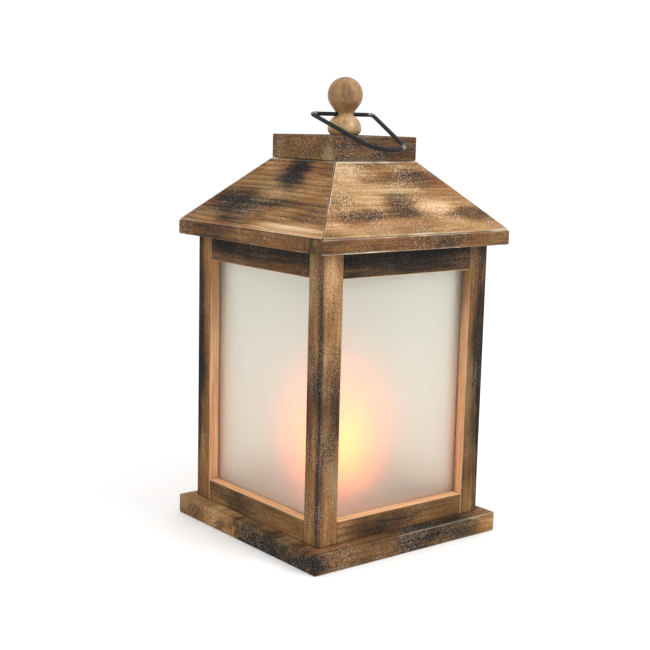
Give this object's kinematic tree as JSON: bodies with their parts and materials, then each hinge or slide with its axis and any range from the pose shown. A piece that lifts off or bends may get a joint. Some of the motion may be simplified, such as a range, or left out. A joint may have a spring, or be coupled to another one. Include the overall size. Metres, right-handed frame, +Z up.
{
  "type": "hanging lantern",
  "caption": "Square wooden lantern with a hipped roof, frosted panes round a battery flame lamp, and a wire bail through a turned finial.",
  "frame": {"origin": "middle of the base board's underside, where the lantern stands", "axes": "+Z up through the finial; -Y is the front, the side the bail lies over; +X is the lantern's own right as seen from the front"},
  "size_m": [0.173, 0.173, 0.3331],
  "materials": {
    "torched_wood": "softwood, torched and sanded back, clear matt coat",
    "turned_wood": "smooth turned softwood, thin satin lacquer",
    "frosted_pane": "frosted acrylic sheet, translucent",
    "black_wire": "satin black paint on steel wire",
    "black_plastic": "fine spark texture",
    "white_plastic": "smooth moulding",
    "flame_diffuser": "thin translucent moulding, lit from inside",
    "plated_steel": "bright zinc plate",
    "cell_sleeve": "printed film sleeve, plain",
    "circuit_board": "solder mask",
    "red_lead": "wire insulation",
    "black_lead": "wire insulation"
  },
  "bodies": {
    "lantern": {"base_board": "torched_wood", "corner_post_front_left": "torched_wood", "corner_post_front_right": "torched_wood", "corner_post_back_right": "torched_wood", "corner_post_back_left": "torched_wood", "bottom_rail_front": "torched_wood", "bottom_rail_right": "torched_wood", "bottom_rail_back": "torched_wood", "bottom_rail_left": "torched_wood", "top_rail_front": "torched_wood", "top_rail_right": "torched_wood", "top_rail_back": "torched_wood", "top_rail_left": "torched_wood", "eave_strip_front": "torched_wood", "eave_strip_right": "torched_wood", "eave_strip_back": "torched_wood", "eave_strip_left": "torched_wood", "roof_board_front": "torched_wood", "roof_board_right": "torched_wood", "roof_board_back": "torched_wood", "roof_board_left": "torched_wood", "cap_block": "torched_wood", "finial": "turned_wood", "pane_front": "frosted_pane", "pane_right": "frosted_pane", "pane_back": "frosted_pane", "pane_left": "frosted_pane", "light_housing": "black_plastic", "housing_lid": "black_plastic", "battery_cell_1": "cell_sleeve", "battery_spring_1": "plated_steel", "battery_cell_2": "cell_sleeve", "battery_spring_2": "plated_steel", "battery_cell_3": "cell_sleeve", "battery_spring_3": "plated_steel", "contact_plate_left_single": "plated_steel", "contact_plate_left_pair": "plated_steel", "contact_plate_right_pair": "plated_steel", "contact_plate_right_single": "plated_steel", "switch_body": "plated_steel", "driver_board": "circuit_board", "lead_negative": "black_lead", "lead_positive": "red_lead", "lead_switch": "red_lead", "led_column": "white_plastic", "lamp_collar": "white_plastic", "flame_diffuser": "flame_diffuser", "base_screw_1": "plated_steel", "flange_screw_1": "plated_steel", "base_screw_2": "plated_steel", "flange_screw_2": "plated_steel", "base_screw_3": "plated_steel", "flange_screw_3": "plated_steel", "base_screw_4": "plated_steel", "flange_screw_4": "plated_steel", "finial_screw": "plated_steel"},
    "bail": {"bail_ring": "black_wire"},
    "door": {"battery_door": "black_plastic"},
    "knob": {"switch_knob": "black_plastic"}
  },
  "joints": [
    {"name": "bail_swing", "type": "hinge", "parent": "lantern", "child": "bail", "pos_m": [0, 0, 0.30645], "axis": [-0.9792, 0.2028, 0], "range_deg": [0, 214.5]},
    {"name": "battery_door", "type": "hinge", "parent": "lantern", "child": "door", "pos_m": [0, -0.024, 0.0022], "axis": [-1, 0, 0], "range_deg": [0, 95]},
    {"name": "switch_slide", "type": "slide", "parent": "lantern", "child": "knob", "axis": [0, 1, 0], "range_m": [-0.004, 0]}
  ]
}
